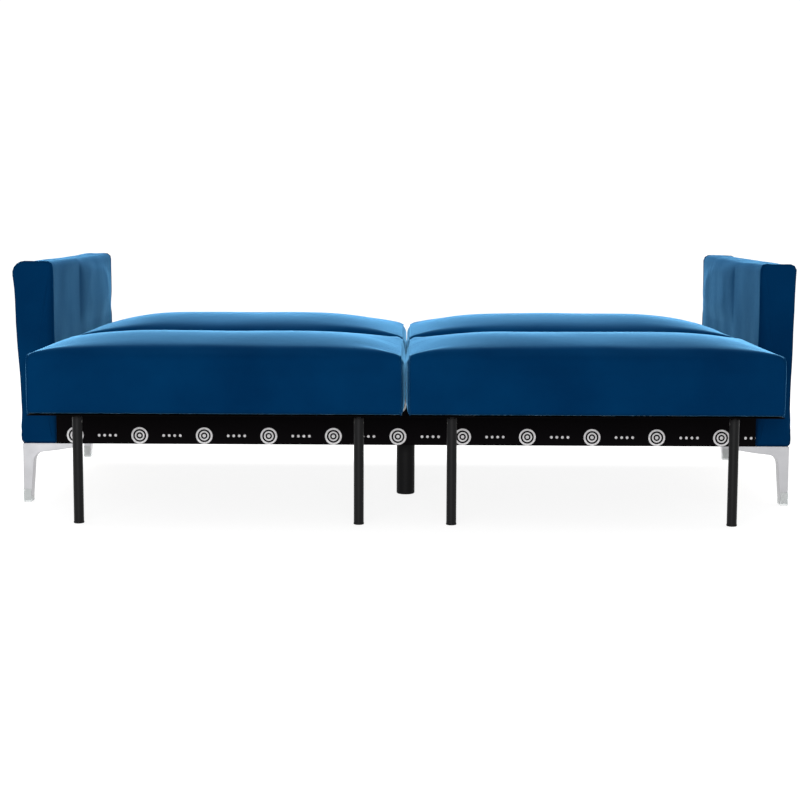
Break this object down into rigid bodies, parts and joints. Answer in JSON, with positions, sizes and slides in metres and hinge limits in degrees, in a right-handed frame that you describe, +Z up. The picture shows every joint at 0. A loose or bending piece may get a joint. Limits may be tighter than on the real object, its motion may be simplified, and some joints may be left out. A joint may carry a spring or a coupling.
{
  "type": "futon sofa bed",
  "caption": "Split-back futon sofa bed in blue velvet, lowered flat, with padded arms, folding support legs and cast chrome feet.",
  "frame": {"origin": "on the floor under the middle of the whole sofa bed with both backs lowered", "axes": "+X towards the sitter's left, along the width; +Y from the front of the seat towards the free edges of the lowered backs; +Z up"},
  "size_m": [1.82, 1.065, 0.57],
  "materials": {
    "velvet": "matte",
    "wood": "matte",
    "dust_cover": "matte",
    "webbing": "matte",
    "zinc_steel": "satin",
    "spring_steel": "satin",
    "frame_steel": "satin",
    "black_steel": "satin",
    "black_rubber": "matte",
    "black_plastic": "satin",
    "cast_chrome": "polished",
    "clear_plastic": "gloss"
  },
  "bodies": {
    "base": {"arm_bolts": "zinc_steel", "arm_cover_left": "velvet", "arm_cover_right": "velvet", "arm_frame_left": "wood", "arm_frame_right": "wood", "base_dust_cover": "dust_cover", "center_leg": "black_plastic", "front_apron": "velvet", "hinge_pins": "zinc_steel", "hinge_seat_bolts": "zinc_steel", "hinge_seat_plate_left_inner": "zinc_steel", "hinge_seat_plate_left_outer": "zinc_steel", "hinge_seat_plate_right_inner": "zinc_steel", "hinge_seat_plate_right_outer": "zinc_steel", "leg_caps": "clear_plastic", "leg_front_left": "cast_chrome", "leg_front_right": "cast_chrome", "leg_rear_left": "cast_chrome", "leg_rear_right": "cast_chrome", "leg_screws": "zinc_steel", "rear_dust_cover": "dust_cover", "seat_cushion_left": "velvet", "seat_cushion_right": "velvet", "seat_rail_front": "wood", "seat_rail_left": "wood", "seat_rail_rear": "wood", "seat_rail_right": "wood", "seat_rails_middle": "wood", "seat_springs_left": "spring_steel", "seat_springs_right": "spring_steel", "spring_clips": "zinc_steel", "spring_rails": "wood"},
    "back_left": {"back_cushion_left": "velvet", "back_frame_left": "frame_steel", "back_straps_left": "webbing", "back_dust_cover_left": "dust_cover", "hinge_back_plates_left": "zinc_steel", "back_bolts_left": "black_steel", "leg_brackets_left": "black_steel", "leg_pins_left": "zinc_steel"},
    "support_leg_left_outer": {"support_leg_left_outer": "black_steel", "support_foot_left_outer": "black_rubber"},
    "hinge_pawl_left_outer": {"hinge_pawl_left_outer": "zinc_steel"},
    "support_leg_left_inner": {"support_leg_left_inner": "black_steel", "support_foot_left_inner": "black_rubber"},
    "hinge_pawl_left_inner": {"hinge_pawl_left_inner": "zinc_steel"},
    "back_right": {"back_cushion_right": "velvet", "back_frame_right": "frame_steel", "back_straps_right": "webbing", "back_dust_cover_right": "dust_cover", "hinge_back_plates_right": "zinc_steel", "back_bolts_right": "black_steel", "leg_brackets_right": "black_steel", "leg_pins_right": "zinc_steel"},
    "support_leg_right_outer": {"support_leg_right_outer": "black_steel", "support_foot_right_outer": "black_rubber"},
    "hinge_pawl_right_outer": {"hinge_pawl_right_outer": "zinc_steel"},
    "support_leg_right_inner": {"support_leg_right_inner": "black_steel", "support_foot_right_inner": "black_rubber"},
    "hinge_pawl_right_inner": {"hinge_pawl_right_inner": "zinc_steel"}
  },
  "joints": [
    {"name": "recline_left", "type": "hinge", "parent": "base", "child": "back_left", "pos_m": [0.411, 0.0825, 0.318], "axis": [1, 0, 0], "range_deg": [0, 78]},
    {"name": "leg_fold_left_outer", "type": "hinge", "parent": "back_left", "child": "support_leg_left_outer", "pos_m": [0.72, 0.462, 0.226], "axis": [-1, 0, 0], "range_deg": [0, 90]},
    {"name": "pawl_left_outer", "type": "hinge", "parent": "back_left", "child": "hinge_pawl_left_outer", "pos_m": [0.8193, 0.1185, 0.292], "axis": [1, 0, 0], "range_deg": [-8, 4]},
    {"name": "leg_fold_left_inner", "type": "hinge", "parent": "back_left", "child": "support_leg_left_inner", "pos_m": [0.102, 0.462, 0.226], "axis": [-1, 0, 0], "range_deg": [0, 90]},
    {"name": "pawl_left_inner", "type": "hinge", "parent": "back_left", "child": "hinge_pawl_left_inner", "pos_m": [0.0027, 0.1185, 0.292], "axis": [1, 0, 0], "range_deg": [-8, 4]},
    {"name": "recline_right", "type": "hinge", "parent": "base", "child": "back_right", "pos_m": [-0.411, 0.0825, 0.318], "axis": [1, 0, 0], "range_deg": [0, 78]},
    {"name": "leg_fold_right_outer", "type": "hinge", "parent": "back_right", "child": "support_leg_right_outer", "pos_m": [-0.72, 0.462, 0.226], "axis": [-1, 0, 0], "range_deg": [0, 90]},
    {"name": "pawl_right_outer", "type": "hinge", "parent": "back_right", "child": "hinge_pawl_right_outer", "pos_m": [-0.8193, 0.1185, 0.292], "axis": [1, 0, 0], "range_deg": [-8, 4]},
    {"name": "leg_fold_right_inner", "type": "hinge", "parent": "back_right", "child": "support_leg_right_inner", "pos_m": [-0.102, 0.462, 0.226], "axis": [-1, 0, 0], "range_deg": [0, 90]},
    {"name": "pawl_right_inner", "type": "hinge", "parent": "back_right", "child": "hinge_pawl_right_inner", "pos_m": [-0.0027, 0.1185, 0.292], "axis": [1, 0, 0], "range_deg": [-8, 4]}
  ]
}
